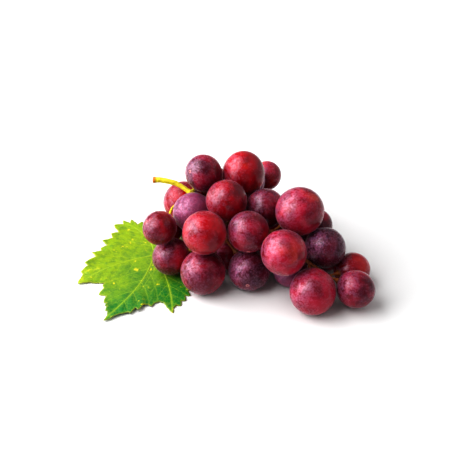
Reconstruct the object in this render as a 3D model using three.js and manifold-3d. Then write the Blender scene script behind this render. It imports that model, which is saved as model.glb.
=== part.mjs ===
// A bunch of red table grapes lying on its side on a surface, with one vine leaf tucked under its stalk end.
//
// Millimetres, +Z up. The bunch runs along X: the cut stalk is to the left (-X) and at the back, and the tip
// of the bunch is to the right (+X) and at the front (-Y). The part's origin is at the bottom of its box, in
// the middle, so it stands on z = 0. Each berry is one solid, the branching stalk is one solid and the leaf
// is one solid.
import * as THREE from 'three';
import { mergeVertices } from 'three/addons/utils/BufferGeometryUtils.js';
import Module from 'manifold-3d';

const wasm = await Module();
wasm.setup();

// ---- Driving dimensions ---------------------------------------------------------------------------------

const BERRY_WIDTH = 24; // across a full-sized berry; each berry states its own share of it
const BERRY_DETAIL = 2; // subdivision of the icosahedron that a berry starts from
const ROUND_UP = 1.012; // puts a faceted berry's faces, not its corners, close to the round surface
const FLAT_DEPTH = 0.5; // how far a berry that rests on the surface is flattened
const SEAT_DEPTH = 0.3; // the flat seat at the stem end of a berry, which its stem's cap sits on
const SEAT_BLOCK = 8; // the block that cuts the seat
const GAP = 0.3; // clear space between neighbouring pieces

const LEAF_THICKNESS = 0.6;
const LEAF_GRID = 8; // size of the patches that the curved blade is made of
const LEAF_LIFT = 5; // how high the free margin rises and falls
const LEAF_WAVES = 3; // round the whole leaf
const LEAF_WAVE_TURN = 0.9;
const LEAF_FLAT_MIDDLE = 18; // the blade begins to lift this far out from where its veins meet
const LEAF_TIP_REACH = 62; // and lifts fully this far out
const LEAF_HELD_EDGE = -36; // the bunch holds the blade down as far as this X
const LEAF_FREE_EDGE = -52; // and it is free beyond this one
const PETIOLE_RADIUS = 1.1;

const STALK_RADIUS = 1.55; // at the cut end
const STALK_TIP_RADIUS = 0.95; // at the last fork
const LATERAL_RADIUS = 0.85;
const PEDICEL_RADIUS = 0.65; // the short stem of one berry
const CAP_RADIUS = 1.9; // the swollen end that holds the berry
const CAP_LENGTH = 2.6;

// ---- Where things are -----------------------------------------------------------------------------------

// The main stalk, from its cut end to its last fork. Side branches and berries hang from the named points.
const STALK = [
  { at: [-42, 70, 41] },
  { at: [-38, 70, 41] },
  { at: [-34, 69.5, 40.5] },
  { at: [-29.5, 69, 39.5] },
  { at: [-26, 68, 38] },
  { at: [-21, 65.5, 35.5], name: 'neck' },
  { at: [-8, 60.5, 30.5], name: 'first' },
  { at: [12, 43, 24.5], name: 'second' },
  { at: [25.5, 37.5, 27.5], name: 'third' },
  { at: [33, 31.5, 25], name: 'fourth' },
  { at: [45, 19.5, 19.5], name: 'fifth' },
  { at: [55.5, 16, 13], name: 'tip' },
];

// Side branches: the point of the stalk that each leaves, and where it ends in a fork of its own.
const LATERALS = {
  shoulder: { from: 'neck', to: [-26, 62, 31.5] },
  back: { from: 'neck', to: [-14, 76, 34] },
  front: { from: 'second', to: [-2, 38, 24] },
  under: { from: 'first', to: [2, 57, 21] },
  top: { from: 'first', to: [9, 64, 31] },
  crest: { from: 'top', to: [12, 76, 18] },
  far: { from: 'fourth', to: [34, 50, 21] },
  wing: { from: 'far', to: [33, 76, 20] },
};

// Each berry: its centre, its width as a share of BERRY_WIDTH, its length as a share of its width, and the
// fork that it hangs from. The berries are then eased apart, so places are to the nearest half millimetre.
const BERRIES = [
  { at: [-13, 63.5, 48.5], size: 0.85, long: 1.03, stem: 'first' },
  { at: [9.5, 68, 45.5], size: 0.99, long: 1.1, stem: 'top' },
  { at: [23, 97, 26.5], size: 0.71, long: 1.05, stem: 'crest' },
  { at: [0, 45.5, 42.5], size: 0.94, long: 1.02, stem: 'first' },
  { at: [-25, 73, 24.5], size: 0.94, long: 1.04, stem: 'back' },
  { at: [-18, 52.5, 32.5], size: 0.92, long: 1.02, stem: 'first' },
  { at: [-37, 36, 31], size: 0.77, long: 1.06, stem: 'shoulder' },
  { at: [-31, 36, 12], size: 0.86, long: 1.06, stem: 'front' },
  { at: [-12, 23, 37], size: 0.98, long: 1.02, stem: 'front' },
  { at: [-13, 21, 12.5], size: 1.02, long: 1.02, stem: 'front' },
  { at: [12, 27.5, 35], size: 0.94, long: 1.06, stem: 'second' },
  { at: [12.5, 24.5, 11.5], size: 0.95, long: 1.02, stem: 'front' },
  { at: [22, 49.5, 35], size: 0.9, long: 1.04, stem: 'second' },
  { at: [41, 35, 41], size: 1.09, long: 1.01, stem: 'third' },
  { at: [30, 12.5, 32], size: 1.01, long: 1.04, stem: 'third' },
  { at: [54.5, 28, 24], size: 0.92, long: 1.02, stem: 'fourth' },
  { at: [50, 49, 23.5], size: 0.78, long: 1.04, stem: 'far' },
  { at: [68.5, 26.5, 9.5], size: 0.79, long: 1.12, stem: 'tip' },
  { at: [70, 6.5, 11.5], size: 0.84, long: 1.04, stem: 'tip' },
  { at: [46.5, 3.5, 12.5], size: 1.03, long: 1.03, stem: 'fifth' },
  { at: [35.5, 27, 10], size: 0.79, long: 1.04, stem: 'fourth' },
  { at: [13.5, 84, 32.5], size: 0.84, long: 1.05, stem: 'top' },
  { at: [0, 43, 11], size: 0.87, long: 1.03, stem: 'front' },
  { at: [22, 46, 10.5], size: 0.87, long: 1.04, stem: 'third' },
  { at: [-17, 55, 10], size: 0.8, long: 1.05, stem: 'under' },
  { at: [1, 67, 10], size: 0.82, long: 1.02, stem: 'under' },
  { at: [22, 69, 11], size: 0.92, long: 1.03, stem: 'under' },
  { at: [41, 44, 9], size: 0.71, long: 1.06, stem: 'far' },
  { at: [-8, 87, 27], size: 0.87, long: 1.04, stem: 'back' },
  { at: [44, 67, 15], size: 0.87, long: 1.03, stem: 'wing' },
  { at: [58, 42, 8.5], size: 0.7, long: 1.05, stem: 'fifth' },
  { at: [7, 88, 10], size: 0.83, long: 1.03, stem: 'under' },
  { at: [26, 88, 8.5], size: 0.7, long: 1.04, stem: 'wing' },
  { at: [-25, 89, 9.5], size: 0.79, long: 1.05, stem: 'back' },
  { at: [43, 86, 9], size: 0.72, long: 1.05, stem: 'wing' },
  { at: [-9, 82, 8.5], size: 0.68, long: 1.05, stem: 'back' },
  { at: [-31, 53, 18], size: 0.56, long: 1.05, stem: 'shoulder' },
];

// The leaf's outline, seen from above, from the notch where the petiole joins, round by the back, the left
// and the front: every second point or so is the tip of a tooth. Measured from LEAF_CENTRE, where the veins
// meet.
const LEAF_CENTRE = [-42, 48.5];
const LEAF_OUTLINE = [
  [3, 5], [5.5, 13.5], [7.5, 17.5], [4, 20], [3.5, 25], [0, 26.5], [-1.5, 32], [-5.5, 32], [-9.5, 37.5],
  [-12, 34.5], [-16, 40], [-16.5, 36], [-21, 39], [-20.5, 35], [-26, 33.5], [-22.5, 26], [-27, 24],
  [-25.5, 20], [-31.5, 16.5], [-28, 12.5], [-32, 10], [-31, 7.5], [-36.5, 4.5], [-33.5, 0.5], [-39.5, -5.5],
  [-37.5, -8], [-41, -13], [-39.5, -15], [-41.5, -24], [-35, -22.5], [-26.5, -23], [-27.5, -25.5],
  [-26.5, -27.5], [-29, -33], [-24.5, -34.5], [-25.5, -40.5], [-23.5, -41], [-24.5, -44], [-23, -44.5],
  [-24, -48], [-22.5, -48.5], [-22.5, -52], [-24, -56.5], [-16, -51], [-11.5, -49.5], [-10, -50.5],
  [-7.5, -46], [-6, -48], [-3.5, -43.5], [-1, -42.5], [1, -44], [2.5, -41], [5, -39.5], [7.5, -40.5],
  [10.5, -46], [13, -49], [13, -45], [14.5, -42.5], [17, -43], [17, -38.5], [19.5, -38.5], [19, -34],
  [22, -34], [20.5, -30], [22.5, -27.5], [21, -23.5], [29, -22], [29, -16.5], [33, -14], [32, -8.5],
  [36, -4.5], [32, -0.5], [34, 4.5], [30, 5.5], [28, 10], [23, 8.5], [19, 13], [15, 9], [11, 11], [8, 6],
];

// The petiole lies on the surface between the lowest berries.
const PETIOLE = [
  [0, 0, 1.5],
  [5, 9, 1.3],
  [14, 18, 1.3],
  [26, 24, 1.3],
];

// ---- Easing the berries apart ---------------------------------------------------------------------------

const SETTLE_PASSES = 400;
const STALK_SAMPLES = 6; // places along each stretch of stalk that push a berry away
const SAG = 1.2; // a berry this close to the surface sinks down onto it
const DOWN = new THREE.Vector3(0, 0, -1);

const vec = (p) => new THREE.Vector3(...p);

const stalkPoints = STALK.map(({ at }) => vec(at));
const forks = new Map(STALK.map(({ at, name }) => [name, vec(at)]));
for (const [name, { to }] of Object.entries(LATERALS)) forks.set(name, vec(to));

// How far a berry reaches in a direction. It is an ellipsoid of revolution, and its axis points at its fork.
function reach(berry, direction) {
  const along = direction.dot(berry.axis);
  const across2 = Math.max(0, 1 - along * along);
  return ROUND_UP / Math.sqrt(across2 / berry.radius ** 2 + (along * along) / berry.halfLength ** 2);
}

// The stalk thins from its cut end to its tip, stretch by stretch.
function stalkRadius(stretch) {
  return THREE.MathUtils.lerp(STALK_RADIUS, STALK_TIP_RADIUS, stretch / (STALK.length - 2));
}

function readBerries() {
  return BERRIES.map(({ at, size, long, stem }, i) => {
    const radius = (size * BERRY_WIDTH) / 2;
    return {
      name: `berry_${String(i + 1).padStart(2, '0')}`,
      centre: vec(at),
      radius,
      halfLength: radius * long,
      stem,
      axis: forks.get(stem).clone().sub(vec(at)).normalize(),
      restsOn: 0,
    };
  });
}

function stalkSamples() {
  const stretches = stalkPoints.slice(1).map((to, i) => [stalkPoints[i], to, stalkRadius(i)]);
  for (const [name, { from }] of Object.entries(LATERALS)) {
    stretches.push([forks.get(from), forks.get(name), LATERAL_RADIUS]);
  }
  return stretches.flatMap(([a, b, radius]) =>
    Array.from({ length: STALK_SAMPLES }, (_, k) => ({ at: a.clone().lerp(b, k / STALK_SAMPLES), radius })),
  );
}

const outlineAt = LEAF_OUTLINE.map(([x, y]) => new THREE.Vector2(x + LEAF_CENTRE[0], y + LEAF_CENTRE[1]));

function overLeaf(x, y) {
  let inside = false;
  outlineAt.forEach((a, i) => {
    const b = outlineAt[(i + 1) % outlineAt.length];
    if (a.y > y !== b.y > y && x < a.x + ((y - a.y) * (b.x - a.x)) / (b.y - a.y)) inside = !inside;
  });
  return inside;
}

function settle(berries) {
  const samples = stalkSamples();
  const between = new THREE.Vector3();
  for (let pass = 0; pass < SETTLE_PASSES; pass += 1) {
    berries.forEach((a, i) => {
      for (const b of berries.slice(i + 1)) {
        between.subVectors(b.centre, a.centre);
        const distance = between.length();
        between.divideScalar(distance);
        const short = reach(a, between) + reach(b, between) + GAP - distance;
        if (short <= 0) continue;
        a.centre.addScaledVector(between, -short / 2);
        b.centre.addScaledVector(between, short / 2);
      }
      for (const { at, radius } of samples) {
        between.subVectors(a.centre, at);
        const distance = between.length();
        between.divideScalar(distance);
        const short = reach(a, between) + radius + GAP - distance;
        if (short > 0) a.centre.addScaledVector(between, short);
      }
      a.restsOn = overLeaf(a.centre.x, a.centre.y) ? LEAF_THICKNESS + GAP : -FLAT_DEPTH;
      const lying = a.restsOn + reach(a, DOWN);
      if (a.centre.z < lying + SAG) a.centre.z = lying;
      a.axis = forks.get(a.stem).clone().sub(a.centre).normalize();
    });
  }
}

// ---- Solids ---------------------------------------------------------------------------------------------

const WELD_DISTANCE = 1e-3;

function solidOf(geometry) {
  const bare = geometry.index ? geometry.toNonIndexed() : geometry.clone();
  bare.deleteAttribute('normal');
  bare.deleteAttribute('uv');
  const merged = mergeVertices(bare, WELD_DISTANCE);
  const triVerts = new Uint32Array(merged.index.array);
  const vertProperties = merged.attributes.position.array;
  return new wasm.Manifold(new wasm.Mesh({ numProp: 3, vertProperties, triVerts }));
}

function meshOf(name, solid, material) {
  const { vertProperties, triVerts } = solid.getMesh();
  const geometry = new THREE.BufferGeometry();
  geometry.setAttribute('position', new THREE.BufferAttribute(vertProperties, 3));
  geometry.setIndex(new THREE.BufferAttribute(triVerts, 1));
  geometry.computeVertexNormals();
  const mesh = new THREE.Mesh(geometry, material);
  mesh.name = name;
  return mesh;
}

const cube = (side) => new THREE.BoxGeometry(side, side, side);

function moved(geometry, at, axis) {
  const turn = new THREE.Quaternion().setFromUnitVectors(new THREE.Vector3(0, 1, 0), axis);
  return geometry.applyQuaternion(turn).translate(at.x, at.y, at.z);
}

// ---- Berries --------------------------------------------------------------------------------------------

// A point on a berry's axis, this far outside its stem end.
function pole(berry, clear) {
  return berry.centre.clone().addScaledVector(berry.axis, berry.halfLength * ROUND_UP + clear);
}

function berrySolid(berry) {
  const ball = new THREE.IcosahedronGeometry(1, BERRY_DETAIL);
  ball.scale(berry.radius * ROUND_UP, berry.halfLength * ROUND_UP, berry.radius * ROUND_UP);
  const beyondSeat = cube(SEAT_BLOCK).translate(0, SEAT_BLOCK / 2, 0);
  const seatCut = solidOf(moved(beyondSeat, pole(berry, -SEAT_DEPTH), berry.axis));
  const solid = solidOf(moved(ball, berry.centre, berry.axis)).subtract(seatCut);
  if (berry.restsOn > 0) return solid;
  const below = cube(BERRY_WIDTH).translate(berry.centre.x, berry.centre.y, -BERRY_WIDTH / 2);
  return solid.subtract(solidOf(below));
}

// ---- Stalk ----------------------------------------------------------------------------------------------

const TUBE_SIDES = 8;
const NODE_SWELL = 1.3;
const FIRST_NODE = 4; // stretches of the stalk before it have no swollen joints
const PEDICEL_SIDES = 5;
const PEDICEL_STEPS = 4;
const CAP_SIDES = 6;
const ROUTE_POINTS = 9;
const ROUTE_CLEARANCE = 0.8; // wide enough for the straight steps of a bent pedicel
const ROUTE_PASSES = 120;

function ring(radius, sides) {
  const corners = Array.from({ length: sides }, (_, k) => {
    const angle = (2 * Math.PI * k) / sides;
    return new THREE.Vector2(radius * Math.cos(angle), radius * Math.sin(angle));
  });
  return new THREE.Shape(corners);
}

function tube(points, radius, sides, steps) {
  const straight = points.length === 2;
  const extrudePath = straight ? new THREE.LineCurve3(...points) : new THREE.CatmullRomCurve3(points);
  return solidOf(new THREE.ExtrudeGeometry(ring(radius, sides), { steps, extrudePath, bevelEnabled: false }));
}

function knot(at, radius) {
  return solidOf(new THREE.IcosahedronGeometry(radius, 0).translate(at.x, at.y, at.z));
}

// The swollen end of a pedicel, against its berry: a turned cone along the berry's axis.
function capAt(berry) {
  const profile = [
    [0, 0],
    [CAP_RADIUS, 0],
    [PEDICEL_RADIUS, CAP_LENGTH],
    [0, CAP_LENGTH],
  ];
  const cone = new THREE.LatheGeometry(profile.map(([x, y]) => new THREE.Vector2(x, y)), CAP_SIDES);
  return solidOf(moved(cone, pole(berry, GAP - SEAT_DEPTH), berry.axis));
}

// A pedicel's route from its fork to its berry, eased round every berry in the way.
function pedicelRoute(berry, berries) {
  const start = forks.get(berry.stem);
  const end = pole(berry, GAP - SEAT_DEPTH + CAP_LENGTH * 0.8);
  const straight = (_, k) => start.clone().lerp(end, k / (ROUTE_POINTS - 1));
  const route = Array.from({ length: ROUTE_POINTS }, straight);
  const away = new THREE.Vector3();
  for (let pass = 0; pass < ROUTE_PASSES; pass += 1) {
    for (let k = 1; k < ROUTE_POINTS - 1; k += 1) {
      const middle = route[k - 1].clone().add(route[k + 1]).multiplyScalar(0.5);
      route[k].lerp(middle, 0.5);
      for (const other of berries) {
        away.subVectors(route[k], other.centre);
        const distance = away.length();
        away.divideScalar(distance);
        const short = reach(other, away) + PEDICEL_RADIUS + ROUTE_CLEARANCE - distance;
        if (short > 0) route[k].addScaledVector(away, short);
      }
    }
  }
  return route;
}

function stalkSolid(berries) {
  const pieces = [];
  stalkPoints.slice(1).forEach((to, i) => {
    pieces.push(tube([stalkPoints[i], to], stalkRadius(i), TUBE_SIDES, 1));
    pieces.push(knot(to, stalkRadius(i) * (i < FIRST_NODE ? 1 : NODE_SWELL)));
  });
  for (const [name, { from }] of Object.entries(LATERALS)) {
    pieces.push(tube([forks.get(from), forks.get(name)], LATERAL_RADIUS, TUBE_SIDES, 1));
    pieces.push(knot(forks.get(name), LATERAL_RADIUS * NODE_SWELL));
  }
  for (const berry of berries) {
    pieces.push(tube(pedicelRoute(berry, berries), PEDICEL_RADIUS, PEDICEL_SIDES, PEDICEL_STEPS));
    pieces.push(capAt(berry));
  }
  return wasm.Manifold.union(pieces);
}

// ---- Leaf -----------------------------------------------------------------------------------------------

const PETIOLE_STEPS = 8;
const CUTTER_DEPTH = 10 * LEAF_LIFT; // reaches well past the curved sheet, above and below

// Height of the blade's underside: flat under the bunch, lifting in slow waves towards its free margin.
function leafHeight(x, y) {
  const dx = x - LEAF_CENTRE[0];
  const dy = y - LEAF_CENTRE[1];
  const outwards = THREE.MathUtils.smoothstep(Math.hypot(dx, dy), LEAF_FLAT_MIDDLE, LEAF_TIP_REACH);
  const free = THREE.MathUtils.smoothstep(-x, -LEAF_HELD_EDGE, -LEAF_FREE_EDGE);
  const wave = 0.5 + 0.5 * Math.sin(LEAF_WAVES * Math.atan2(dy, -dx) + LEAF_WAVE_TURN);
  return LEAF_LIFT * outwards * free * wave;
}

// A curved sheet, larger than the leaf, is cut to the leaf's outline, and the petiole is joined to it.
function leafSolid() {
  const extent = new THREE.Box2().setFromPoints(outlineAt).expandByScalar(1);
  const middle = extent.getCenter(new THREE.Vector2());
  const { x: length, y: width } = extent.getSize(new THREE.Vector2());
  const cells = [length, width].map((side) => Math.ceil(side / LEAF_GRID));
  const sheet = new THREE.BoxGeometry(length, width, LEAF_THICKNESS, ...cells, 1);
  sheet.translate(middle.x, middle.y, LEAF_THICKNESS / 2);
  const position = sheet.attributes.position;
  for (let i = 0; i < position.count; i += 1) {
    position.setZ(i, position.getZ(i) + leafHeight(position.getX(i), position.getY(i)));
  }
  const outline = new THREE.Shape(outlineAt);
  const cutter = new THREE.ExtrudeGeometry(outline, { depth: CUTTER_DEPTH, bevelEnabled: false });
  const blade = solidOf(sheet).intersect(solidOf(cutter.translate(0, 0, -CUTTER_DEPTH / 2)));
  const petiole = PETIOLE.map(([x, y, z]) => new THREE.Vector3(x + LEAF_CENTRE[0], y + LEAF_CENTRE[1], z));
  return blade.add(tube(petiole, PETIOLE_RADIUS, TUBE_SIDES, PETIOLE_STEPS));
}

// ---- The bunch ------------------------------------------------------------------------------------------

const skin = (color) => new THREE.MeshStandardMaterial({ color, roughness: 0.35, metalness: 0 });
const SKIN_COLOURS = [0x8c1d30, 0x5e1830, 0xa3202c, 0x7a2440];
const stalkMaterial = new THREE.MeshStandardMaterial({ color: 0xb9b53a, roughness: 0.6, metalness: 0 });
const leafMaterial = new THREE.MeshStandardMaterial({ color: 0x6fae2b, roughness: 0.55, metalness: 0 });

const berries = readBerries();
settle(berries);

const bunch = new THREE.Group();
bunch.add(meshOf('stalk', stalkSolid(berries), stalkMaterial));
bunch.add(meshOf('leaf', leafSolid(), leafMaterial));
berries.forEach((berry, i) => {
  bunch.add(meshOf(berry.name, berrySolid(berry), skin(SKIN_COLOURS[i % SKIN_COLOURS.length])));
});

// The origin goes to the bottom of the box, in the middle.
const box = new THREE.Box3().setFromObject(bunch);
bunch.position.set(-(box.min.x + box.max.x) / 2, -(box.min.y + box.max.y) / 2, -box.min.z);

export default bunch;
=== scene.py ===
"""A bunch of red table grapes on its side, with one vine leaf tucked under its stalk end.

Metres, +Z up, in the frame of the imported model. Every berry, the stalk and the leaf is made around
its plain solid: a shape tree or a mesh routine for the form, and a procedural material for the finish.
"""

import math
import bmesh
import bpy
import numpy as np
from bpy.props import CollectionProperty, FloatProperty, FloatVectorProperty, IntProperty, PointerProperty
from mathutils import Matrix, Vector, noise
from mathutils.bvhtree import BVHTree
from mathutils.geometry import delaunay_2d_cdt


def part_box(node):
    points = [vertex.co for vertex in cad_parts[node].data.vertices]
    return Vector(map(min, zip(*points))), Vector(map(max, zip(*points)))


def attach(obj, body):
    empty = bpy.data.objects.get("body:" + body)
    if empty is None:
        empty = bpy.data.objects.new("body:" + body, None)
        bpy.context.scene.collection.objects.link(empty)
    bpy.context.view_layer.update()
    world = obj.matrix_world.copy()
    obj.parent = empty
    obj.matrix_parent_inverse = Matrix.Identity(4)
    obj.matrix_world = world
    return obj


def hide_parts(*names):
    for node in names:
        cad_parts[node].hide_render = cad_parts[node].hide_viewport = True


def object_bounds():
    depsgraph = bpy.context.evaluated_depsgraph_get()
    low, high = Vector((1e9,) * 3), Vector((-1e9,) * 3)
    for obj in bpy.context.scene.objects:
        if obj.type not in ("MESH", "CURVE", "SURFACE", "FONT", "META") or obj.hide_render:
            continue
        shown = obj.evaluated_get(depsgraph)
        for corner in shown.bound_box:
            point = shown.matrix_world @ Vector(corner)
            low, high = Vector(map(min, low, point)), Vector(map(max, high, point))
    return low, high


bl_info = {
    "name": "Bunch of grapes",
    "version": (1, 0, 0),
    "blender": (4, 5, 0),
    "location": "View3D > Sidebar > Grapes",
    "description": "Grows red table grapes, their stalk and a vine leaf around plain solids",
    "category": "Add Mesh",
}

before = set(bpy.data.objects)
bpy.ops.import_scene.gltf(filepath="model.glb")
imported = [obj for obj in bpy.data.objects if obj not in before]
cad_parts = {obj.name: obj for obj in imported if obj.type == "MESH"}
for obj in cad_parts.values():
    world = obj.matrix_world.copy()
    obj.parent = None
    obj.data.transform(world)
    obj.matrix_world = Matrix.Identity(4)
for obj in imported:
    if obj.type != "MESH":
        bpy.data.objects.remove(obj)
SOLID_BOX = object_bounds()
BODY = "root"
MM = 0.001


def paint(red, green, blue):
    """A colour given as on a screen, 0 to 255, as the linear colour that materials use."""
    channels = [value / 255 for value in (red, green, blue)]
    return tuple(c / 12.92 if c <= 0.04045 else ((c + 0.055) / 1.055) ** 2.4 for c in channels)


def length(name, value, description):
    """A size in metres that a user may change."""
    return FloatProperty(name=name, description=description, default=value, unit="LENGTH", precision=5)


def amount(name, value, description, **more):
    """A number, from nothing up, that a user may change."""
    return FloatProperty(name=name, description=description, default=value, min=0, **more)


def share(name, value, description):
    """A share between nothing and all."""
    return FloatProperty(name=name, description=description, default=value, min=0, max=1,
                         subtype="FACTOR")


def colour(name, value, description):
    """A colour that a user may change."""
    return FloatVectorProperty(name=name, description=description, default=value, size=3,
                               min=0, max=1, subtype="COLOR")


# ---- Settings ------------------------------------------------------------------------------------


class SkinSettings(bpy.types.PropertyGroup):
    """One ripeness of skin."""

    lit: colour("Lit", paint(190, 30, 45), "Skin where it is thinnest and ripened in the light")
    deep: colour("Deep", paint(90, 10, 30), "Skin where the colour is fullest")
    bloom: share("Bloom", 0.4, "How much of the skin the waxy bloom covers")
    # Orange patches of painted glow, as of light shining through the skin.
    flush: share("Flush", 0.3, "How orange the skin turns in places")
    gloss: share("Roughness", 0.3, "Roughness of skin that the bloom has been rubbed from")


class BerrySettings(bpy.types.PropertyGroup):
    """The shape that every berry shares."""

    segments: IntProperty(name="Segments", description="Faces round a berry", default=112,
                          min=16, max=256)
    dimple_depth: length("Dimple depth", 0.45 * MM, "How far the skin dips round the stem")
    dimple_width: length("Dimple width", 4.2 * MM, "How far from the stem the dip begins")
    scar_width: length("Scar width", 0.62 * MM, "Radius of the scar that the flower leaves")
    scar_height: length("Scar height", 0.16 * MM, "How far the rim of the scar stands up")
    unevenness: length("Unevenness", 0.28 * MM, "How far a berry strays from a true ellipsoid")
    # The bloom's pale colour also makes the painted highlight where the bloom is thickened towards the key
    # light.
    bloom_colour: colour("Bloom colour", paint(232, 152, 204), "The waxy bloom")


class StalkSettings(bpy.types.PropertyGroup):
    """The branching stalk."""

    grain: length("Grain", 0.25 * MM, "Size of the voxels that the branches are fused with")
    ridge: length("Ridge", 0.09 * MM, "Height of the bark's ridges")
    warts: amount("Warts", 60000, "Corky warts on a square metre of bark")
    flare: length("Flare", 0.35 * MM, "How far the cut end spreads")
    fresh: colour("Fresh", paint(226, 214, 40), "Green wood near the cut end")
    browned: colour("Browned", paint(152, 80, 26), "Wood deep in the bunch")
    cut: colour("Cut", paint(190, 96, 30), "The dried cut end")


class LeafSettings(bpy.types.PropertyGroup):
    """The vine leaf."""

    step: length("Step", 0.6 * MM, "Distance between the blade's vertices")
    thickness: length("Thickness", 0.42 * MM, "Thickness of the blade")
    quilting: length("Quilting", 0.5 * MM, "How far the blade swells between its veins")
    curl: length("Curl", 1.2 * MM, "How far the teeth turn up or down")
    vein: length("Vein", 0.36 * MM, "Radius of a main vein where the veins meet")
    # Lime at the back-left and green at the front-right: partly the leaf's own colour, partly painted
    # light towards the key light and painted shade of the bunch.
    lime: colour("Lime", paint(140, 168, 2), "Young green towards the back")
    green: colour("Green", paint(16, 116, 30), "Full green towards the front")
    vein_colour: colour("Vein colour", paint(164, 188, 40), "Veins and the blade's margin")


class StageSettings(bpy.types.PropertyGroup):
    """The floor, the lights and the camera."""

    floor: colour("Floor", (0.74, 0.74, 0.74), "Pale floor")
    sky: amount("Sky", 0.42, "Strength of the white surroundings")
    key: amount("Key", 31, "Power of the soft light on the open side", unit="POWER")
    fill: amount("Fill", 3, "Power of the weak soft light on the other side", unit="POWER")
    lens: amount("Lens", 85, "Focal length in millimetres, for a 36 mm sensor")
    lift: amount("Lift", math.radians(35), "How steeply the camera looks down", subtype="ANGLE")
    distance: length("Distance", 0.601, "From the camera to the middle of the bunch")


class BunchSettings(bpy.types.PropertyGroup):
    """Everything that a user may change."""

    berries: PointerProperty(name="Berries", description="Shape of the berries", type=BerrySettings)
    skins: CollectionProperty(name="Skins", description="Ripenesses of the skin", type=SkinSettings)
    stalk: PointerProperty(name="Stalk", description="The branching stalk", type=StalkSettings)
    leaf: PointerProperty(name="Leaf", description="The vine leaf", type=LeafSettings)
    stage: PointerProperty(name="Stage", description="Floor, lights and camera", type=StageSettings)


# Each ripeness: lit colour, deep colour, bloom, orange painted glow, roughness.
SKINS = {
    "scarlet": (paint(168, 10, 22), paint(120, 5, 18), 0.30, 0.50, 0.18),
    "ruby": (paint(172, 10, 24), paint(120, 5, 18), 0.22, 0.35, 0.17),
    "rose": (paint(162, 8, 42), paint(112, 5, 24), 0.52, 0.50, 0.21),
    "garnet": (paint(152, 7, 24), paint(96, 4, 15), 0.30, 0.25, 0.15),
    "wine": (paint(148, 8, 38), paint(94, 4, 22), 0.50, 0.20, 0.19),
    "plum": (paint(138, 8, 38), paint(76, 3, 20), 0.45, 0.10, 0.15),
    "ink": (paint(106, 7, 32), paint(52, 2, 16), 1.00, 0.05, 0.18),
    "dusty": (paint(132, 56, 88), paint(98, 36, 66), 0.75, 0.05, 0.38),
}

# The ripeness of each berry; the ones not named here take their turn in ORDINARY.
RIPENESS = {
    1: "plum", 2: "ruby", 3: "rose", 4: "garnet", 5: "scarlet", 6: "dusty", 7: "garnet", 8: "wine",
    9: "scarlet", 10: "wine", 11: "wine", 12: "ink", 13: "plum", 14: "rose", 15: "rose", 16: "ink",
    17: "plum", 18: "garnet", 19: "plum", 20: "rose", 21: "dusty", 22: "dusty",
}
ORDINARY = ("wine", "garnet", "plum", "rose")


# ---- Node trees ----------------------------------------------------------------------------------


def plug(tree, node, sockets):
    """Gives a node's inputs their values or links, by name, or by place as i0, i1 and so on."""
    for key, value in sockets.items():
        place = int(key[1:]) if key[0] == "i" and key[1:].isdigit() else key.replace("_", " ")
        if isinstance(value, bpy.types.NodeSocket):
            tree.links.new(value, node.inputs[place])
        else:
            node.inputs[place].default_value = value


def put(tree, kind, settings=None, **sockets):
    """Adds a node. Settings are its properties, and sockets its inputs."""
    node = tree.nodes.new(kind)
    for key, value in (settings or {}).items():
        setattr(node, key, value)
    plug(tree, node, sockets)
    return node


def math_node(tree, operation, *values):
    """One sum; an input is a number or another node's output."""
    sockets = {f"i{place}": value for place, value in enumerate(values)}
    return put(tree, "ShaderNodeMath", {"operation": operation}, **sockets).outputs[0]


def vector_node(tree, operation, first, second):
    """One sum of two vectors, or their dot product."""
    node = put(tree, "ShaderNodeVectorMath", {"operation": operation}, i0=first, i1=second)
    return node.outputs["Value" if operation == "DOT_PRODUCT" else "Vector"]


def ease(tree, value, low, high, start=0.0, end=1.0):
    """Turns a value smoothly from start, at low, to end, at high."""
    settings = {"interpolation_type": "SMOOTHSTEP"}
    node = put(tree, "ShaderNodeMapRange", settings, i0=value, i1=low, i2=high, i3=start, i4=end)
    return node.outputs[0]


def shape_tree(name, inputs):
    """A geometry tree with named inputs, whose result goes out through the returned output node."""
    tree = bpy.data.node_groups.new(name, "GeometryNodeTree")
    tree.interface.new_socket("Geometry", in_out="INPUT", socket_type="NodeSocketGeometry")
    for label, kind in inputs:
        tree.interface.new_socket(label, in_out="INPUT", socket_type=f"NodeSocket{kind}")
    tree.interface.new_socket("Geometry", in_out="OUTPUT", socket_type="NodeSocketGeometry")
    return tree, tree.nodes.new("NodeGroupInput").outputs, tree.nodes.new("NodeGroupOutput")


def store(tree, geometry, name, value):
    """Stores a value at each point of a mesh, for its material to read."""
    settings = {"data_type": "FLOAT", "domain": "POINT"}
    node = put(tree, "GeometryNodeStoreNamedAttribute", settings, Geometry=geometry, Name=name,
               Value=value)
    return node.outputs[0]


def close_tree(tree, geometry, material, output):
    """Ends a shape tree: real geometry, in one material."""
    real = put(tree, "GeometryNodeRealizeInstances", Geometry=geometry).outputs[0]
    painted = put(tree, "GeometryNodeSetMaterial", Geometry=real, Material=material)
    tree.links.new(painted.outputs[0], output.inputs[0])


def grow(piece, tree, values):
    """Runs a shape tree on a piece and keeps the result as its plain mesh."""
    modifier = piece.modifiers.new(tree.name, "NODES")
    modifier.node_group = tree
    for item in tree.interface.items_tree:
        if item.in_out == "INPUT" and item.name in values:
            modifier[item.identifier] = values[item.name]
    keep_result(piece)


def keep_result(piece):
    """Makes what a piece's modifiers show its plain mesh, smoothly shaded."""
    graph = bpy.context.evaluated_depsgraph_get()
    mesh = bpy.data.meshes.new_from_object(piece.evaluated_get(graph))
    piece.modifiers.clear()
    piece.data = mesh
    mesh.shade_smooth()


def new_piece(name, mesh=None):
    """A new object at the origin."""
    piece = bpy.data.objects.new(name, mesh or bpy.data.meshes.new(name))
    bpy.context.scene.collection.objects.link(piece)
    return piece


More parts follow.
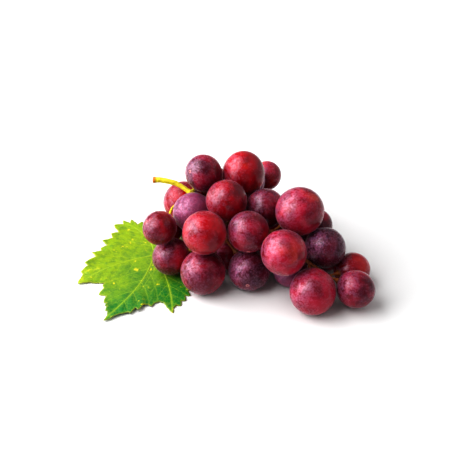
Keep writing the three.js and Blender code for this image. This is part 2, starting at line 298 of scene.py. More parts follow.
def merged_copy(node):
    """A solid's mesh with its loose triangles joined, as a new mesh."""
    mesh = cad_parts[node].data.copy()
    joined = bmesh.new()
    joined.from_mesh(mesh)
    bmesh.ops.remove_doubles(joined, verts=joined.verts, dist=1e-6)
    joined.to_mesh(mesh)
    joined.free()
    mesh.materials.clear()
    return mesh


def belongs(piece, slot, *nodes):
    """Ties a finished piece to the frame."""
    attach(piece, BODY)
    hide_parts(*nodes)


# ---- Materials -----------------------------------------------------------------------------------


# Painted glow: the orange of light shining through the skin.
PAINTED_GLOW_ORANGE = paint(206, 62, 22)
PALE_PORE = paint(226, 130, 140)
PALE_RING = paint(232, 146, 146)
BROWN_PIT = paint(96, 54, 36)
STEM_END = paint(170, 120, 60)


def new_material(name):
    """An empty material: its tree, its shader and the place on the object."""
    material = bpy.data.materials.new(name)
    material.use_nodes = True
    tree = material.node_tree
    shader = next(node for node in tree.nodes if node.type == "BSDF_PRINCIPLED")
    return material, tree, shader, put(tree, "ShaderNodeTexCoord").outputs["Object"]


def blend(tree, factor, first, second):
    """Mixes two colours, each a plain colour or another node's output."""
    ends = [end if isinstance(end, bpy.types.NodeSocket) else (*end, 1) for end in (first, second)]
    node = put(tree, "ShaderNodeMix", {"data_type": "RGBA"}, i0=factor, i6=ends[0], i7=ends[1])
    return node.outputs[2]


def cloud(tree, where, scale, detail=4.0, roughness=0.5, distortion=0.0):
    """Soft noise, about one patch for each 1/scale metres."""
    node = put(tree, "ShaderNodeTexNoise", Vector=where, Scale=scale, Detail=detail,
               Roughness=roughness, Distortion=distortion)
    return node.outputs[0]


def relief(tree, shader, height, distance):
    """Fine relief, at most this deep, on a shader."""
    bump = put(tree, "ShaderNodeBump", Height=height, Distance=distance, Strength=1.0)
    tree.links.new(bump.outputs[0], shader.inputs["Normal"])


def attribute(tree, name):
    """A value stored on the mesh."""
    return put(tree, "ShaderNodeAttribute", {"attribute_name": name}).outputs["Fac"]


def skin_colour(tree, where, mottle, skin):
    """The skin under its bloom: deep and lit patches, dark mottling, orange patches of painted glow, as of
    light shining through the skin, and pale pores.
    """
    patches = ease(tree, cloud(tree, where, 85, 3, 0.55, 0.4), 0.36, 0.64)
    body = blend(tree, patches, skin.deep, skin.lit)
    darkest = [0.5 * value for value in skin.deep]
    body = blend(tree, ease(tree, mottle, 0.48, 0.74, 0.0, 0.34), body, darkest)
    # Painted glow: orange patches at random places, standing in for light shining through the skin.
    flush = ease(tree, cloud(tree, where, 62, 2, 0.5), 0.58, 0.72, 0.0, skin.flush)
    body = blend(tree, flush, body, PAINTED_GLOW_ORANGE)
    pores = put(tree, "ShaderNodeTexVoronoi", Vector=where, Scale=640.0).outputs["Distance"]
    return blend(tree, ease(tree, pores, 0.08, 0.18, 0.22, 0.0), body, PALE_PORE)


def bloom_and_painted_highlight(tree, where, skin):
    """How much waxy bloom is left: none where it was rubbed off, and holes. It is painted thicker towards
    the key light, as a painted highlight, and thinner away from it, as painted shade.
    """
    bare = 0.38 + 0.2 * skin.bloom
    faces_light = attribute(tree, "lightward")
    # Painted highlight and painted shade: towards the key light more bloom is left and it grows up to 1.9
    # times as thick; away from it, it falls to 0.4 of itself.
    lightward_shift = math_node(tree, "MULTIPLY", faces_light, -0.13)
    patches = math_node(tree, "ADD", cloud(tree, where, 105, 8, 0.68, 0.6), lightward_shift)
    left = ease(tree, patches, bare, bare + 0.06, 1.0, 0.0)
    left = math_node(tree, "MULTIPLY", left, ease(tree, faces_light, 0.4, 0.98, 0.4, 1.9))
    holes = ease(tree, cloud(tree, where, 380, 6, 0.7, 0.4), 0.5, 0.58, 1.0, 0.25)
    specks = ease(tree, cloud(tree, where, 950, 5, 0.75), 0.4, 0.62, 0.4, 1.5)
    return math_node(tree, "MULTIPLY", math_node(tree, "MULTIPLY", left, holes), specks)


def with_ends(tree, body):
    """The skin's colour with its flower scar, a brown pit in a pale ring, and its pale stem end."""
    to_flower = attribute(tree, "to_flower")
    body = blend(tree, ease(tree, to_flower, 0.9938, 0.9965, 0.0, 0.65), body, PALE_RING)
    body = blend(tree, ease(tree, to_flower, 0.9979, 0.999, 0.0, 0.9), body, BROWN_PIT)
    at_stem = ease(tree, attribute(tree, "to_stem"), 0.965, 0.995, 0.0, 0.6)
    return blend(tree, at_stem, body, STEM_END)


def skin_material(skin, bloom_colour):
    """Thin, slightly see-through skin with rubbed waxy bloom, pores, a flower scar and a stem end; the
    bloom's pale film is thickened into a painted highlight where the skin faces the key light.
    """
    material, tree, shader, where = new_material(f"skin_{skin.name}")
    mottle = cloud(tree, where, 420, 6, 0.7)
    body = skin_colour(tree, where, mottle, skin)
    bloom_and_highlight = bloom_and_painted_highlight(tree, where, skin)
    # The bloom's pale film over the skin's colour is partly real bloom and partly a painted highlight,
    # since it is thickest towards the key light.
    film_and_highlight = math_node(tree, "MULTIPLY", bloom_and_highlight, 0.03 + 0.15 * skin.bloom)
    plug(tree, shader, {
        "Base Color": with_ends(tree, blend(tree, film_and_highlight, body, bloom_colour)),
        "Roughness": ease(tree, bloom_and_highlight, 0.0, 0.9, skin.gloss, skin.gloss + 0.2),
        "IOR": 1.4,
        "Specular Tint": (1.0, 0.74, 0.94, 1.0),
        "Subsurface Weight": 0.45,
        "Subsurface Radius": (1.0, 0.12, 0.08),
        "Subsurface Scale": 6.0 * MM,
        "Coat Weight": math_node(tree, "MULTIPLY", bloom_and_highlight, 0.5),
        "Coat Roughness": 0.28,
        "Coat IOR": 1.45,
        "Sheen Weight": 0.2,
        "Sheen Roughness": 0.36,
        "Sheen Tint": (1.0, 0.66, 0.86, 1.0),
    })
    height = math_node(tree, "ADD", math_node(tree, "MULTIPLY", mottle, 0.5), bloom_and_highlight)
    relief(tree, shader, height, 0.012 * MM)
    return material


def stalk_material(settings):
    """Green wood that browns inside the bunch, streaked along its length, with a dried cut end."""
    material, tree, shader, where = new_material("stalk_wood")
    drift = ease(tree, cloud(tree, where, 160, 4), 0.3, 0.8, -0.3, 0.3)
    age = ease(tree, math_node(tree, "ADD", attribute(tree, "age"), drift), 0.15, 0.85)
    stretch = put(tree, "ShaderNodeMapping", Vector=where, Scale=(0.25, 1.0, 1.0)).outputs[0]
    streaks = ease(tree, cloud(tree, stretch, 1500, 5, 0.65), 0.42, 0.68)
    wood = blend(tree, age, settings.fresh, settings.browned)
    dark = blend(tree, age, paint(150, 124, 16), paint(96, 44, 16))
    wood = blend(tree, math_node(tree, "MULTIPLY", streaks, 0.45), wood, dark)
    spots = ease(tree, cloud(tree, where, 900, 3, 0.5), 0.6, 0.72, 0.0, 0.7)
    wood = blend(tree, spots, wood, paint(96, 50, 18))
    plug(tree, shader, {
        "Base Color": blend(tree, attribute(tree, "cut"), wood, settings.cut),
        "Roughness": ease(tree, streaks, 0.0, 1.0, 0.42, 0.62),
        "Subsurface Weight": 0.1,
        "Subsurface Radius": (1.0, 0.8, 0.3),
        "Subsurface Scale": 0.6 * MM,
    })
    relief(tree, shader, math_node(tree, "ADD", streaks, cloud(tree, where, 2400, 3)), 0.08 * MM)
    return material


def blade_material(settings):
    """Leaf blade: lime to green, partly painted light and painted shade, a net of fine veins, yellow
    flecks and a pale dry margin.
    """
    material, tree, shader, where = new_material("leaf_blade")
    # Lime towards the back-left, green towards the front-right: partly the leaf's own colour, partly
    # painted light on the side towards the key light and painted shade where the bunch shades the blade.
    forward = vector_node(tree, "DOT_PRODUCT", where, (12.0, -12.0, 0.0))
    drift = math_node(tree, "ADD", forward, cloud(tree, where, 45, 4, 0.6, 0.5))
    blade = blend(tree, ease(tree, drift, -0.32, 0.58), settings.lime, settings.green)
    mottle = cloud(tree, where, 320, 6, 0.65)
    blade = blend(tree, ease(tree, mottle, 0.42, 0.66, 0.0, 0.46), blade, paint(30, 104, 34))
    pale = ease(tree, cloud(tree, where, 120, 5, 0.6), 0.6, 0.74, 0.0, 0.7)
    blade = blend(tree, pale, blade, paint(200, 200, 40))
    flecks = ease(tree, cloud(tree, where, 230, 3, 0.5), 0.65, 0.73, 0.0, 0.8)
    blade = blend(tree, flecks, blade, paint(222, 208, 40))

    to_edge = {"feature": "DISTANCE_TO_EDGE"}
    cells = put(tree, "ShaderNodeTexVoronoi", to_edge, Vector=where, Scale=420.0).outputs["Distance"]
    net = ease(tree, cells, 0.02, 0.09, 0.2, 0.0)
    blade = blend(tree, net, blade, settings.vein_colour)
    blade = blend(tree, attribute(tree, "vein"), blade, settings.vein_colour)
    plug(tree, shader, {
        "Base Color": blend(tree, attribute(tree, "margin"), blade, paint(196, 176, 50)),
        "Roughness": ease(tree, mottle, 0.3, 0.7, 0.4, 0.58),
        "Subsurface Weight": 0.12,
        "Subsurface Radius": (0.5, 1.0, 0.2),
        "Subsurface Scale": 0.5 * MM,
    })
    height = math_node(tree, "SUBTRACT", math_node(tree, "MULTIPLY", mottle, 0.6), net)
    relief(tree, shader, height, 0.12 * MM)
    return material


def vein_material(settings):
    """Smooth veins in two pale greens."""
    material, tree, shader, where = new_material("leaf_vein")
    tint = ease(tree, cloud(tree, where, 150, 4), 0.35, 0.7)
    greens = blend(tree, tint, settings.vein_colour, paint(150, 184, 44))
    plug(tree, shader, {"Base Color": greens, "Roughness": 0.45})
    relief(tree, shader, cloud(tree, where, 2000, 3), 0.04 * MM)
    return material


def floor_material(settings):
    """Matt pale floor."""
    material, tree, shader, where = new_material("floor")
    darker = [0.98 * value for value in settings.floor]
    tint = blend(tree, cloud(tree, where, 30, 5), settings.floor, darker)
    plug(tree, shader, {"Base Color": tint, "Roughness": 0.8})
    return material


# ---- Berries -------------------------------------------------------------------------------------

SEAT_AGREES = 0.9999  # cosine between the normals of faces that lie in one plane
PLUMP = 1.008  # a berry swells this much past its solid, and all but touches its neighbours
FLOOR_CLEAR = 0.02 * MM
STUB = (1.2 * MM, 2.2 * MM)  # the stem's end stands in the dip, and slopes down between these radii
PRESSED = 0.6 * MM  # how softly a berry's underside turns into the flat that it lies on
SEED_STEP = 3.7  # between the noise of one berry and of the next
STUB_RISE = 1.3  # height of the stem's end, in depths of the dip
SCAR_PIT_REACH = 0.75  # the scar's pit ends this far out, in widths of the scar
SCAR_RIM_REACH = 1.6  # and its rim this far
SCAR_PIT = 1.9  # depth of the pit, in heights of the rim

# A berry's flower scar lies below the point opposite its stem; these have it on the bunch's outer side,
# where it shows.
SCAR_SINKS = Vector((0, 0, -1.2))
FLOWER_ENDS = {
    1: Vector((-0.72, -0.54, 0.43)),
    7: Vector((-0.73, -0.25, 0.63)),
    12: Vector((-0.10, -0.97, -0.20)),
}
KEY_LIGHT_SIDE = (-0.76, -0.30, 0.58)  # the side that faces the key light; the bloom's pale film is painted thickest there, as a painted highlight, and thinnest on the far side, as painted shade


def seat_of(mesh):
    """The flat seat under a berry's stem cap: its normal and its distance from the origin."""
    best = (0, 0, None, 0)
    for face in mesh.polygons:
        if face.normal.z < -SEAT_AGREES:  # the flat underneath, where the berry lies on the floor
            continue
        areas = [other.area for other in mesh.polygons if other.normal.dot(face.normal) > SEAT_AGREES]
        if (len(areas), sum(areas)) > best[:2]:
            best = (len(areas), sum(areas), face.normal.copy(), face.normal.dot(face.center))
    return best[2:]


def berry_form(node):
    """A solid berry's centre, axis towards its stem, radius and half length, by least squares."""
    mesh = merged_copy(node)
    axis, seat = seat_of(mesh)
    turn = axis.to_track_quat("Z", "Y")
    corners = [v.co for v in mesh.vertices
               if v.co.z > FLOOR_CLEAR and v.co.dot(axis) < seat - FLOOR_CLEAR]
    local = np.array([turn.inverted() @ corner for corner in corners]) / MM
    x, y, z = local.T
    # The corners lie where a (x² + y²) + b z² + c x + d y + e z = 1, in millimetres.
    terms = np.stack([x * x + y * y, z * z, x, y, z], 1)
    a, b, c, d, e = np.linalg.lstsq(terms, np.ones(len(x)), rcond=None)[0]
    middle = np.array([-c / (2 * a), -d / (2 * a), -e / (2 * b)])
    size = 1 + a * (middle[0] ** 2 + middle[1] ** 2) + b * middle[2] ** 2
    bpy.data.meshes.remove(mesh)
    return turn @ Vector(middle * MM), turn, math.sqrt(size / a) * MM, math.sqrt(size / b) * MM


def stem_end(tree, given, x, y, z):
    """How far the skin dips round the stem, and stands up again as the stub in the middle."""
    squares = math_node(tree, "ADD", math_node(tree, "MULTIPLY", x, x), math_node(tree, "MULTIPLY", y, y))
    across = math_node(tree, "MULTIPLY", math_node(tree, "SQRT", squares), given["Radius"])
    down = math_node(tree, "MULTIPLY", given["Dimple Depth"], -1.0)
    dimple = ease(tree, across, 0.0, given["Dimple Width"], down, 0.0)
    stub = ease(tree, across, *STUB, math_node(tree, "MULTIPLY", given["Dimple Depth"], STUB_RISE), 0.0)
    at_stem = math_node(tree, "GREATER_THAN", z, 0.0)
    return math_node(tree, "MULTIPLY", math_node(tree, "ADD", dimple, stub), at_stem)


def flower_scar(tree, given, to_flower):
    """How far the scar's rim stands up and its pit goes in."""
    inner = math_node(tree, "MULTIPLY", given["Scar Width"], SCAR_PIT_REACH)
    outer = math_node(tree, "MULTIPLY", given["Scar Width"], SCAR_RIM_REACH)
    squared = math_node(tree, "POWER", to_flower, 2.0)
    around = math_node(tree, "SQRT", math_node(tree, "SUBTRACT", 1.0, squared))
    around = math_node(tree, "MULTIPLY", around, given["Radius"])
    rim = ease(tree, around, given["Scar Width"], outer, given["Scar Height"], 0.0)
    bottom = math_node(tree, "MULTIPLY", given["Scar Height"], -SCAR_PIT)
    pit = ease(tree, around, 0.0, inner, bottom, 0.0)
    at_scar = math_node(tree, "GREATER_THAN", to_flower, 0.0)
    return math_node(tree, "MULTIPLY", math_node(tree, "ADD", rim, pit), at_scar)


def berry_tree():
    """A berry: an ellipsoid with a dip round its stem, a ringed flower scar and slight unevenness."""
    sizes = ("Radius", "Half Length", "Dimple Depth", "Dimple Width", "Scar Width", "Scar Height",
             "Unevenness", "Seed")
    inputs = [("Segments", "Int"), *((size, "Float") for size in sizes), ("Flower End", "Vector"),
              ("Centre", "Vector"), ("Turn", "Rotation"), ("Material", "Material")]
    tree, given, output = shape_tree("Grape berry", inputs)
    rings = math_node(tree, "MULTIPLY", given["Segments"], 0.75)
    ball = put(tree, "GeometryNodeMeshUVSphere", Segments=given["Segments"], Rings=rings).outputs[0]
    position = put(tree, "GeometryNodeInputPosition").outputs[0]
    x, y, z = put(tree, "ShaderNodeSeparateXYZ", i0=position).outputs
    to_flower = vector_node(tree, "DOT_PRODUCT", position, given["Flower End"])
    ball = store(tree, ball, "to_stem", z)
    ball = store(tree, ball, "to_flower", to_flower)

    lumps = cloud(tree, vector_node(tree, "ADD", position, given["Seed"]), 0.9, 2.0)
    lumps = math_node(tree, "MULTIPLY", math_node(tree, "SUBTRACT", lumps, 0.5), given["Unevenness"])
    swell = math_node(tree, "ADD", lumps, flower_scar(tree, given, to_flower))
    wide = math_node(tree, "ADD", given["Radius"], swell)
    tall = math_node(tree, "ADD", given["Half Length"], swell)
    high = math_node(tree, "ADD", math_node(tree, "MULTIPLY", z, tall), stem_end(tree, given, x, y, z))
    shaped = put(tree, "ShaderNodeCombineXYZ", X=math_node(tree, "MULTIPLY", x, wide),
                 Y=math_node(tree, "MULTIPLY", y, wide), Z=high).outputs[0]
    ball = put(tree, "GeometryNodeSetPosition", Geometry=ball, Position=shaped).outputs[0]
    ball = put(tree, "GeometryNodeTransform", Geometry=ball, Translation=given["Centre"],
               Rotation=given["Turn"]).outputs[0]

    placed = put(tree, "GeometryNodeInputPosition").outputs[0]
    x, y, z = put(tree, "ShaderNodeSeparateXYZ", i0=placed).outputs
    resting = math_node(tree, "SMOOTH_MAX", z, 0.0, PRESSED)
    flattened = put(tree, "ShaderNodeCombineXYZ", X=x, Y=y, Z=resting).outputs[0]
    ball = put(tree, "GeometryNodeSetPosition", Geometry=ball, Position=flattened).outputs[0]
    normal = put(tree, "GeometryNodeInputNormal").outputs[0]
    # How squarely each point faces the key light; the skin's painted highlight and painted shade follow
    # this.
    ball = store(tree, ball, "lightward", vector_node(tree, "DOT_PRODUCT", normal, KEY_LIGHT_SIDE))
    close_tree(tree, ball, given["Material"], output)
    return tree


def ripeness_of(number):
    """The name of a berry's skin."""
    return RIPENESS.get(number, ORDINARY[number % len(ORDINARY)])


class GRAPES_OT_berries(bpy.types.Operator):
    """Grows every berry around its solid, in the skin of its own ripeness"""

    bl_idname = "grapes.berries"
    bl_label = "Berries"

    def execute(self, context):
        bunch = context.scene.grapes
        settings = bunch.berries
        skins = {skin.name: skin_material(skin, settings.bloom_colour) for skin in bunch.skins}
        tree = berry_tree()
        nodes = sorted(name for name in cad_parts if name.startswith("berry_"))
        if not nodes:
            raise RuntimeError("the frame holds no berries")
        for number, node in enumerate(nodes, 1):
            centre, turn, radius, half_length = berry_form(node)
            away = turn @ Vector((0, 0, -1))
            flower_end = turn.inverted() @ FLOWER_ENDS.get(number, away + SCAR_SINKS)
            berry = new_piece(f"grape_{number:02d}")
            grow(berry, tree, {
                "Segments": settings.segments,
                "Radius": radius * PLUMP,
                "Half Length": half_length * PLUMP,
                "Dimple Depth": settings.dimple_depth,
                "Dimple Width": settings.dimple_width,
                "Scar Width": settings.scar_width,
                "Scar Height": settings.scar_height,
                "Unevenness": settings.unevenness,
                "Seed": SEED_STEP * number,
                "Flower End": flower_end.normalized(),
                "Centre": centre,
                "Turn": turn.to_euler(),
                "Material": skins[ripeness_of(number)],
            })
            belongs(berry, "berry_skin", node)
        return {"FINISHED"}


# ---- Stalk ---------------------------------------------------------------------------------------

SMOOTHING_ROUNDS = 9
STALK_SWELL = 0.12 * MM  # smoothing thins the branches by about this much
WART_RADIUS = 0.2 * MM
WART_SEED = 5
CUT_REACH = 2.2 * MM  # how far from the cut end the wood flares and dries
FRESH_REACH = (14 * MM, 34 * MM)  # the wood browns between these distances from the cut end


def stalk_tree():
    """Bark on a fused stalk: ridges, swollen warts, and the spread cut end."""
    inputs = [("Swell", "Float"), ("Ridge", "Float"), ("Flare", "Float"), ("Warts", "Float"),
              ("Seed", "Int"), ("Cut End", "Float"), ("Material", "Material")]
    tree, given, output = shape_tree("Grape stalk", inputs)
    position = put(tree, "GeometryNodeInputPosition").outputs[0]
    normal = put(tree, "GeometryNodeInputNormal").outputs[0]
    along = put(tree, "ShaderNodeSeparateXYZ", i0=position).outputs[0]
    inwards = math_node(tree, "SUBTRACT", along, given["Cut End"])
    dried = ease(tree, inwards, 0.0, CUT_REACH, 1.0, 0.0)
    bark = store(tree, given["Geometry"], "cut", dried)
    bark = store(tree, bark, "age", ease(tree, inwards, *FRESH_REACH))

    stretched = vector_node(tree, "MULTIPLY", position, (0.3, 1.0, 1.0))
    lumps = math_node(tree, "SUBTRACT", cloud(tree, stretched, 650, 3.0), 0.5)
    offset = math_node(tree, "MULTIPLY", lumps, math_node(tree, "MULTIPLY", given["Ridge"], 2.0))
    offset = math_node(tree, "ADD", offset, given["Swell"])
    offset = math_node(tree, "ADD", offset, math_node(tree, "MULTIPLY", dried, given["Flare"]))
    push = put(tree, "ShaderNodeVectorMath", {"operation": "SCALE"}, i0=normal, Scale=offset).outputs[0]
    bark = put(tree, "GeometryNodeSetPosition", Geometry=bark, Offset=push).outputs[0]

    seed = given["Seed"]
    spots = put(tree, "GeometryNodeDistributePointsOnFaces", Mesh=bark, Density=given["Warts"], Seed=seed)
    wart = put(tree, "GeometryNodeMeshUVSphere", Segments=8, Rings=5, Radius=WART_RADIUS).outputs[0]
    wart = put(tree, "GeometryNodeTransform", Geometry=wart, Scale=(1.0, 1.0, 0.55)).outputs[0]
    size = put(tree, "FunctionNodeRandomValue", {"data_type": "FLOAT"}, i2=0.5, i3=1.3, Seed=seed)
    warts = put(tree, "GeometryNodeInstanceOnPoints", Points=spots.outputs["Points"], Instance=wart,
                Rotation=spots.outputs["Rotation"], Scale=size.outputs[1]).outputs[0]
    joined = tree.nodes.new("GeometryNodeJoinGeometry")
    tree.links.new(warts, joined.inputs[0])
    tree.links.new(bark, joined.inputs[0])
    close_tree(tree, joined.outputs[0], given["Material"], output)
    return tree


class GRAPES_OT_stalk(bpy.types.Operator):
    """Fuses the stalk's branches into one grown piece and gives it bark"""

    bl_idname = "grapes.stalk"
    bl_label = "Stalk"

    def execute(self, context):
        settings = context.scene.grapes.stalk
        stalk = new_piece("stalk_wood", merged_copy("stalk"))
        fuse = stalk.modifiers.new("Fuse", "REMESH")
        fuse.mode = "VOXEL"
        fuse.voxel_size = settings.grain
        smooth = stalk.modifiers.new("Smooth", "SMOOTH")
        smooth.factor = 0.5
        smooth.iterations = SMOOTHING_ROUNDS
        keep_result(stalk)
        grow(stalk, stalk_tree(), {
            "Swell": STALK_SWELL,
            "Ridge": settings.ridge,
            "Flare": settings.flare,
            "Warts": settings.warts,
            "Seed": WART_SEED,
            "Cut End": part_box("stalk")[0].x,
            "Material": stalk_material(settings),
        })
        belongs(stalk, "stalk", "stalk")
        return {"FINISHED"}


# ---- Leaf ----------------------------------------------------------------------------------------

WALL = 0.05  # a wall's normal rises less than this
TOP = 0.8  # and the blade's top more than this
TOOTH_BOW = 0.28  # the side of a tooth bows out by a quarter of this share of its length
ROW = 0.866  # between rows of an even grid of triangles, in steps

# Where the veins meet, from the low corner of the leaf's box.
HUB = (41.5 * MM, 59.5 * MM)
# The tip of each main vein, from where the veins meet, and how far it bows to its right; millimetres.
MAIN_VEINS = {
    "middle": (-23.5, -57.5, -4.0),
    "left": (-40.0, -26.0, 4.5),
    "right": (12.5, -50.0, -2.5),
    "back": (-20.5, 33.5, 5.0),
    "hidden": (34.0, -7.5, -3.0),
}
# Side veins leave a main vein at these shares of its length, those on one side a little further out.
SIDE_VEINS = (0.2, 0.38, 0.55, 0.7, 0.84)
STAGGER = 0.03
SIDE_ANGLE = math.radians(48)
SIDE_SHARE = 0.42  # length of a side vein as a share of what is left of its main vein
SIDE_EXTRA = 4 * MM  # and this much more
SIDE_BEND = 0.35  # how far a side vein turns to run along with its main vein
SIDE_WOBBLE = 0.12  # the share by which a side vein is longer or shorter than that, at most
SIDE_RADIUS = 0.26  # radius of a side vein near the hub, as a share of its main vein's
SIDE_THINNING = 0.4  # the share of that radius that a side vein near the tip doesn't have
VEIN_TAPER = 0.75  # the share of its radius that a vein has lost at its tip
VEIN_SINK = 0.3  # how far the middle of a vein lies under the blade's top, in radii
VEIN_STEPS = 14
# The leaf's stem, from where the veins meet to under the bunch; millimetres.
LEAF_STEM = ((0, 0, 1.5), (5, 9, 1.3), (14, 18, 1.3), (26, 24, 1.3))
LEAF_STEM_RADIUS = 1.06 * MM
LEAF_STEM_STEPS = 32
LEAF_STEM_ROUNDS = 6  # of easing

EASING_ROUNDS = 260
LIES = 0.6 * MM  # where the blade is lower than this it lies on the floor
LIFTS = 1.5 * MM  # and this much higher it ripples freely
LYING_QUILT = 0.25  # share of its quilting that the blade keeps where it lies
LYING_CURL = 0.3  # and of its teeth's curl
PILLOW = 2.2 * MM  # how far from a vein the blade has swollen fully
EDGE = 2.5 * MM  # how far from the rim the teeth begin to curl
RIPPLE = 7 * MM  # from one ripple to the next
RIPPLE_RISE = 0.8  # height of the ripples, as a share of the quilting's
VEIN_TINT = 0.5  # how much of the veins' colour the blade takes on beside them
TINT_REACH = 1.5  # how far from a vein, in radii of the vein
TINT_EXTRA = 0.12 * MM  # and this much further
MARGIN_TINT = 0.35  # how dry the margin is
MARGIN = 0.5 * MM  # width of the dry margin
HIGH = 50 * MM  # over anything on the leaf


def rim_of_leaf():
    """The outline of the leaf's blade: the longest chain of edges between its top and its cut walls."""
    mesh = merged_copy("leaf")
    leaf = bmesh.new()
    leaf.from_mesh(mesh)
    leaf.normal_update()
    beside = {}
    for edge in leaf.edges:
        rises = [face.normal.z for face in edge.link_faces]
        if max(rises) > TOP and min(abs(rise) for rise in rises) < WALL:
            first, second = edge.verts
            beside.setdefault(first, []).append(second)
            beside.setdefault(second, []).append(first)
    chains = []
    for start in [corner for corner, others in beside.items() if len(others) == 1]:
        chain = [start, beside[start][0]]
        while len(beside[chain[-1]]) == 2:
            chain.append(next(corner for corner in beside[chain[-1]] if corner is not chain[-2]))
        chains.append([Vector(corner.co.xy) for corner in chain])
    leaf.free()
    bpy.data.meshes.remove(mesh)
    return max(chains, key=len)


def bulged(rim, step):
    """The outline with fine steps, each straight run bowed out a little as the side of a tooth is."""
    turning = sum(a.cross(b) for a, b in zip(rim, rim[1:] + rim[:1]))
    fine = []
    for start, end in zip(rim, rim[1:] + rim[:1]):
        run = end - start
        outwards = Vector((run.y, -run.x)) * (1 if turning > 0 else -1)
        steps = max(1, round(run.length / step))
        for k in range(steps):
            t = k / steps
            fine.append(start + run * t + outwards * (TOOTH_BOW * t * (1 - t)))
    return fine


def inside(points, rim):
    """Which points lie inside an outline."""
    x, y = points.T
    hit = np.zeros(len(points), bool)
    for a, b in zip(rim, np.roll(rim, -1, 0)):
        crosses = (a[1] > y) != (b[1] > y)
        with np.errstate(divide="ignore", invalid="ignore"):
            hit ^= crosses & (x < a[0] + (y - a[1]) * (b[0] - a[0]) / (b[1] - a[1]))
    return hit


def closed(rim):
    """An outline with its first point again at its end."""
    return np.vstack([rim, rim[:1]])


def gap_to(points, path):
    """The distance from each point to a path of straight runs."""
    nearest = np.full(len(points), np.inf)
    for a, b in zip(path, path[1:]):
        run = b - a
        t = np.clip(((points - a) @ run) / (run @ run), 0, 1)
        nearest = np.minimum(nearest, np.linalg.norm(points - a - t[:, None] * run, axis=1))
    return nearest


def side_vein(main, reach, place, turn, wobble):
    """The points of a side vein, which leaves its main vein at a share of its length, to one side."""
    at = min(place + STAGGER * (turn > 0), 0.97)
    t = np.linspace(0, 1, VEIN_STEPS)
    start = np.array([np.interp(at, t, main[:, axis]) for axis in (0, 1)])
    ahead = reach / np.linalg.norm(reach)
    angle = turn * SIDE_ANGLE
    spin = np.array([[math.cos(angle), -math.sin(angle)], [math.sin(angle), math.cos(angle)]])
    extent = np.linalg.norm(reach) * (1 - at) * SIDE_SHARE * wobble + SIDE_EXTRA
    out = spin @ ahead * extent
    s = t[:, None]
    return at, start + s * out + s * s * ahead * SIDE_BEND * extent


def vein_paths(rim, settings):
    """Where the veins meet, and each vein from above: its points and its radius at its thick end."""
    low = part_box("leaf")[0]
    hub = np.array([low.x + HUB[0], low.y + HUB[1]])
    paths = []
    for x, y, bow in MAIN_VEINS.values():
        reach = np.array([x, y]) * MM
        side = np.array([reach[1], -reach[0]]) / np.linalg.norm(reach)
        t = np.linspace(0, 1, VEIN_STEPS)
        main = hub + t[:, None] * reach + (4 * t * (1 - t))[:, None] * side * bow * MM
        paths.append((main, settings.vein))
        for order, place in enumerate(SIDE_VEINS):
            for turn in (-1, 1):
                wobble = 1 + SIDE_WOBBLE * math.sin(7.3 * order + 3.1 * turn + 40 * bow)
                at, branch = side_vein(main, reach, place, turn, wobble)
                kept = branch[inside(branch, rim)]
                if len(kept) > 3:
                    paths.append((kept, settings.vein * SIDE_RADIUS * (1 - SIDE_THINNING * at)))
    return hub, paths


def leaf_stem(hub):
    """The points along the leaf's stem, which leaves the hub and runs under the bunch."""
    corners = np.array(LEAF_STEM) * MM + (*hub, 0)
    places = np.arange(len(corners))
    fine = np.linspace(0, places[-1], LEAF_STEM_STEPS)
    points = np.stack([np.interp(fine, places, corners[:, axis]) for axis in range(3)], 1)
    for _ in range(LEAF_STEM_ROUNDS):
        points[1:-1] = (points[:-2] + 2 * points[1:-1] + points[2:]) / 4
    return points


def eased_heights(points, links, heights, rounds):
    """Spreads heights along a mesh's edges until they run smoothly."""
    first, second = links.T
    neighbours = np.zeros(len(points))
    np.add.at(neighbours, first, 1)
    np.add.at(neighbours, second, 1)
    for _ in range(rounds):
        total = np.zeros(len(points))
        np.add.at(total, first, heights[second])
        np.add.at(total, second, heights[first])
        heights = 0.5 * heights + 0.5 * total / neighbours
    return heights


def blade_plan(rim, step):
    """The blade from above: the points, edges and faces of an even mesh inside its outline."""
    low, high = rim.min(0), rim.max(0)
    grid = [(x + (row % 2) * step / 2, y) for row, y in enumerate(np.arange(low[1], high[1], step * ROW))
            for x in np.arange(low[0], high[0], step)]
    grid = np.array(grid)
    grid = grid[inside(grid, rim)]
    grid = grid[gap_to(grid, closed(rim)) > 0.45 * step]
    corners = [Vector(point) for point in np.vstack([rim, grid])]
    edges = [(k, (k + 1) % len(rim)) for k in range(len(rim))]
    points, links, faces, *_ = delaunay_2d_cdt(corners, edges, [], 1, 1e-7)
    return np.array(points), np.array(links), faces


def solid_heights(points):
    """The height of the solid leaf's top at each place."""
    solid = merged_copy("leaf")
    tree = BVHTree.FromPolygons([v.co for v in solid.vertices], [f.vertices for f in solid.polygons])
    bpy.data.meshes.remove(solid)
    return np.array([top_at(tree, point, 4 * MM) for point in points])


def top_at(tree, point, nearby):
    """The height of a surface at a place, or else of its point nearest to there at a given height."""
    above = tree.ray_cast(Vector((*point, HIGH)), Vector((0, 0, -1)))[0]
    return above.z if above else tree.find_nearest(Vector((*point, nearby)))[0].z


def vein_closeness(points, paths, settings):
    """How strongly a vein tints the blade at each place, and the distance to the nearest vein."""
    closeness = np.zeros(len(points))
    to_vein = np.full(len(points), np.inf)
    for path, radius in paths:
        gap = gap_to(points, path)
        to_vein = np.minimum(to_vein, gap)
        tint = math.sqrt(radius / settings.vein) * np.exp(-(gap / (TINT_REACH * radius + TINT_EXTRA)) ** 2)
        closeness = np.maximum(closeness, tint)
    return closeness, to_vein


